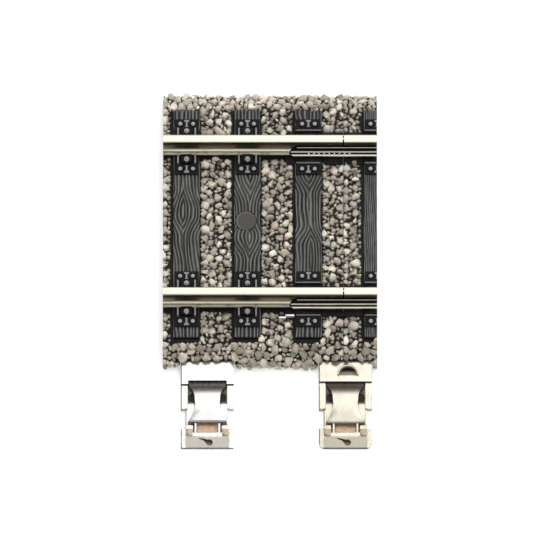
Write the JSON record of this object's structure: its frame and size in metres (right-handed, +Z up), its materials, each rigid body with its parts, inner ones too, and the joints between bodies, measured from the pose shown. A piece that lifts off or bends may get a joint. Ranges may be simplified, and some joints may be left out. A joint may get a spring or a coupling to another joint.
{
  "type": "model track section",
  "caption": "Two-rail model railway track on a ballasted bed, cut at a joint between two sections, with push-in feeder clips.",
  "frame": {"origin": "track centre line, on the plane the bed stands on, half-way along the two joined sections", "axes": "+X along the track, +Y away from the feeder clips, +Z up"},
  "size_m": [0.023, 0.0401, 0.0057],
  "materials": {
    "ballast": "matt, mottled beige, grey and brown",
    "sleeper": "matt with moulded wood grain",
    "chairs": "matt black",
    "rail": "drawn nickel silver, bright head, browned web",
    "joiner": "blackened sheet",
    "contact_strip": "bare sheet",
    "clip_silver": "stamped, bright",
    "clip_yellowed": "stamped, slightly yellowed",
    "saddle": "oxidised copper"
  },
  "bodies": {
    "track_long": {"bed_long": "ballast", "sleeper_1": "sleeper", "sleeper_2": "sleeper", "sleeper_3": "sleeper", "chairs_far_long": "chairs", "chairs_near_long": "chairs", "rail_far_long": "rail", "rail_near_long": "rail", "joiner_far": "joiner", "contact_strip_far": "contact_strip", "contact_strip_near": "contact_strip"},
    "track_short": {"bed_short": "ballast", "sleeper_4": "sleeper", "chairs_far_short": "chairs", "chairs_near_short": "chairs", "rail_far_short": "rail", "rail_near_short": "rail", "joiner_near": "joiner"},
    "cap": {"fixing_hole_cap": "sleeper"},
    "clip_1": {"clip_frame_1": "clip_silver", "clip_saddle_1": "saddle"},
    "lever_1": {"clip_lever_1": "clip_silver"},
    "clip_2": {"clip_frame_2": "clip_yellowed", "clip_saddle_2": "saddle"},
    "lever_2": {"clip_lever_2": "clip_yellowed"}
  },
  "joints": [
    {"name": "section_slide", "type": "slide", "parent": "track_long", "child": "track_short", "axis": [1, 0, 0], "range_m": [0, 0.009]},
    {"name": "cap_lift", "type": "slide", "parent": "track_long", "child": "cap", "axis": [0, 0, 1], "range_m": [0, 0.003]},
    {"name": "clip_1_slide", "type": "slide", "parent": "track_long", "child": "clip_1", "axis": [0, -1, 0], "range_m": [0, 0.008]},
    {"name": "lever_1_press", "type": "hinge", "parent": "clip_1", "child": "lever_1", "pos_m": [-0.0067, -0.0169, 0.0005], "axis": [1, 0, 0], "range_deg": [0, 5], "stiffness_Nm_per_rad": 0.005},
    {"name": "clip_2_slide", "type": "slide", "parent": "track_long", "child": "clip_2", "axis": [0, -1, 0], "range_m": [0, 0.008]},
    {"name": "lever_2_press", "type": "hinge", "parent": "clip_2", "child": "lever_2", "pos_m": [0.00807, -0.0169, 0.0005], "axis": [1, 0, 0], "range_deg": [0, 5], "stiffness_Nm_per_rad": 0.005}
  ]
}
